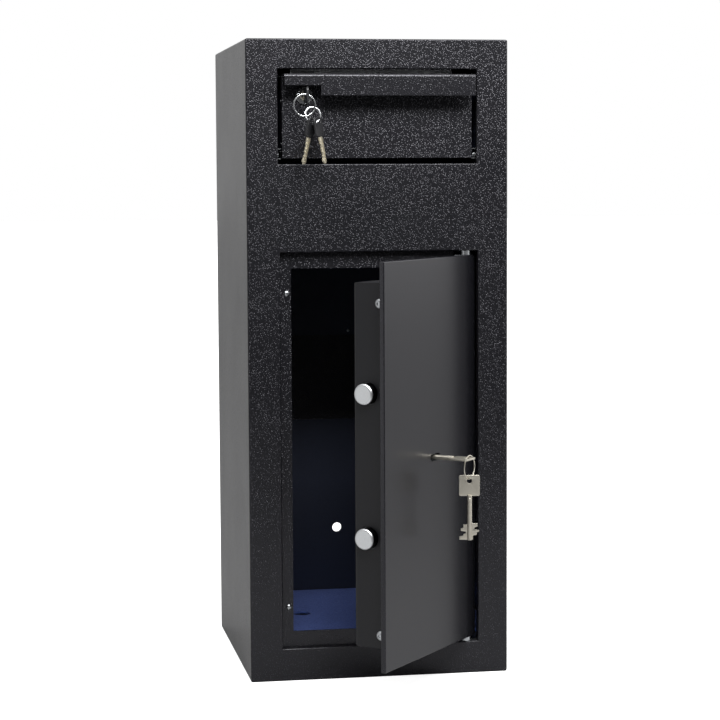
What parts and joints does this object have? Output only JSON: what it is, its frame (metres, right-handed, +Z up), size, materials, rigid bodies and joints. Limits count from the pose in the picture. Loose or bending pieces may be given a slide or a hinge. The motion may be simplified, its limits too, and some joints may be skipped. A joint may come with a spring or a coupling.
{
  "type": "drop safe with deposit drawer",
  "caption": "Tall steel drop safe with a locking deposit drawer above a hinged door with round bolts and keys.",
  "frame": {"origin": "middle of the footprint on the floor", "axes": "+Z up, -Y towards the front with drawer and door, +X to the right as seen from the front"},
  "size_m": [0.35, 0.5506, 0.85],
  "materials": {
    "powder_coat": "fine textured matte powder coat",
    "inner_paint": "smooth satin black paint",
    "zinc_plate": "bright zinc plate",
    "bare_steel": "bare rolled steel",
    "chrome_plate": "bright",
    "nickel_plate": "satin nickel plate",
    "black_plastic": "moulded black, fine matte",
    "felt": "needled dark blue felt"
  },
  "bodies": {
    "safe_body": {"body_wrap": "powder_coat", "front_frame": "powder_coat", "back_panel": "powder_coat", "back_doubler": "inner_paint", "side_stop": "powder_coat", "end_stops": "powder_coat", "strike_rail": "powder_coat", "jamb_screws": "zinc_plate", "hinge_brackets": "bare_steel", "hinge_pins": "zinc_plate", "hinge_washers": "zinc_plate", "drawer_housing": "inner_paint", "rear_baffle": "inner_paint", "baffle_rivet": "zinc_plate", "chute_plate": "inner_paint", "anti_fishing_comb": "zinc_plate", "cabinet_tracks": "zinc_plate", "cabinet_rollers": "zinc_plate", "flap_rod": "zinc_plate", "flap_stop": "zinc_plate", "lock_strike": "bare_steel", "raised_floor": "inner_paint", "felt_mat": "felt"},
    "door": {"door_plate": "powder_coat", "hinge_blocks": "bare_steel", "pan_tabs": "bare_steel", "door_pan": "inner_paint", "pan_screws": "zinc_plate", "bolt_guides": "bare_steel", "hard_plate": "bare_steel", "lock_case": "zinc_plate", "lock_cover": "zinc_plate", "case_screws": "bare_steel"},
    "boltwork": {"locking_bolts": "chrome_plate", "bolt_bar": "bare_steel", "bolt_screws": "zinc_plate", "lock_tongue": "zinc_plate"},
    "door_key": {"door_key": "nickel_plate", "key_drum": "zinc_plate"},
    "key_ring": {"key_wire_ring": "zinc_plate"},
    "spare_key": {"spare_door_key": "nickel_plate"},
    "drawer": {"drawer_front": "powder_coat", "drawer_tray": "inner_paint", "tray_rivets": "zinc_plate", "tray_ledges": "zinc_plate", "tray_rollers": "black_plastic", "lock_barrel": "chrome_plate", "barrel_nut": "zinc_plate"},
    "drawer_lock": {"lock_plug": "nickel_plate", "lock_cam": "zinc_plate", "cam_screw": "bare_steel", "drawer_key_head": "black_plastic", "drawer_key_blade": "nickel_plate"},
    "large_ring": {"large_split_ring": "nickel_plate"},
    "small_ring": {"small_split_ring": "nickel_plate"},
    "left_key": {"left_key_head": "black_plastic", "left_key_blade": "nickel_plate"},
    "right_key": {"right_key_head": "black_plastic", "right_key_blade": "nickel_plate"},
    "flap": {"one_way_flap": "zinc_plate"}
  },
  "joints": [
    {"name": "door_swing", "type": "hinge", "parent": "safe_body", "child": "door", "pos_m": [0.1195, -0.172, 0.3075], "axis": [0, 0, 1], "range_deg": [-51.5, 43.5]},
    {"name": "bolt_slide", "type": "slide", "parent": "door", "child": "boltwork", "axis": [0.6225, 0.7826, 0], "range_m": [0, 0.018]},
    {"name": "key_turn", "type": "hinge", "parent": "door", "child": "door_key", "pos_m": [0.09357, -0.28861, 0.3065], "axis": [-0.7826, 0.6225, 0], "range_deg": [0, 180]},
    {"name": "key_ring_turn", "type": "hinge", "parent": "door_key", "child": "key_ring", "pos_m": [0.09357, -0.28861, 0.3065], "axis": [-0.7826, 0.6225, 0], "range_deg": [-103.2, 0]},
    {"name": "spare_key_turn", "type": "hinge", "parent": "key_ring", "child": "spare_key", "pos_m": [0.09946, -0.2812, 0.2946], "axis": [-0.7826, 0.6225, 0], "range_deg": [-77.2, 0]},
    {"name": "drawer_slide", "type": "slide", "parent": "safe_body", "child": "drawer", "axis": [0, -1, 0], "range_m": [0, 0.14]},
    {"name": "drawer_lock_turn", "type": "hinge", "parent": "drawer", "child": "drawer_lock", "pos_m": [-0.0976, -0.176, 0.776], "axis": [0, -1, 0], "range_deg": [0, 90]},
    {"name": "large_ring_turn", "type": "hinge", "parent": "drawer_lock", "child": "large_ring", "pos_m": [-0.0976, -0.205, 0.776], "axis": [0, -1, 0], "range_deg": [-19.1, 0]},
    {"name": "small_ring_turn", "type": "hinge", "parent": "large_ring", "child": "small_ring", "pos_m": [-0.10146, -0.205, 0.76254], "axis": [0, -1, 0], "range_deg": [-71.1, 0]},
    {"name": "left_key_swing", "type": "hinge", "parent": "small_ring", "child": "left_key", "pos_m": [-0.09512, -0.20779, 0.74132], "axis": [0.7708, -0.6157, -0.1638], "range_deg": [-10, 10]},
    {"name": "right_key_swing", "type": "hinge", "parent": "small_ring", "child": "right_key", "pos_m": [-0.08737, -0.20619, 0.7404], "axis": [0.776, -0.6157, 0.1368], "range_deg": [-10, 10]},
    {"name": "flap_swing", "type": "hinge", "parent": "safe_body", "child": "flap", "pos_m": [0, -0.127, 0.803], "axis": [1, 0, 0], "range_deg": [0, 70]}
  ],
  "couplings": [
    {"joint": "key_turn", "follows": "bolt_slide", "rad_per_m": 174.5},
    {"joint": "key_ring_turn", "follows": "bolt_slide", "rad_per_m": -99.853},
    {"joint": "spare_key_turn", "follows": "bolt_slide", "rad_per_m": -74.647},
    {"joint": "large_ring_turn", "follows": "drawer_lock_turn", "ratio": -0.211},
    {"joint": "small_ring_turn", "follows": "drawer_lock_turn", "ratio": -0.789}
  ]
}
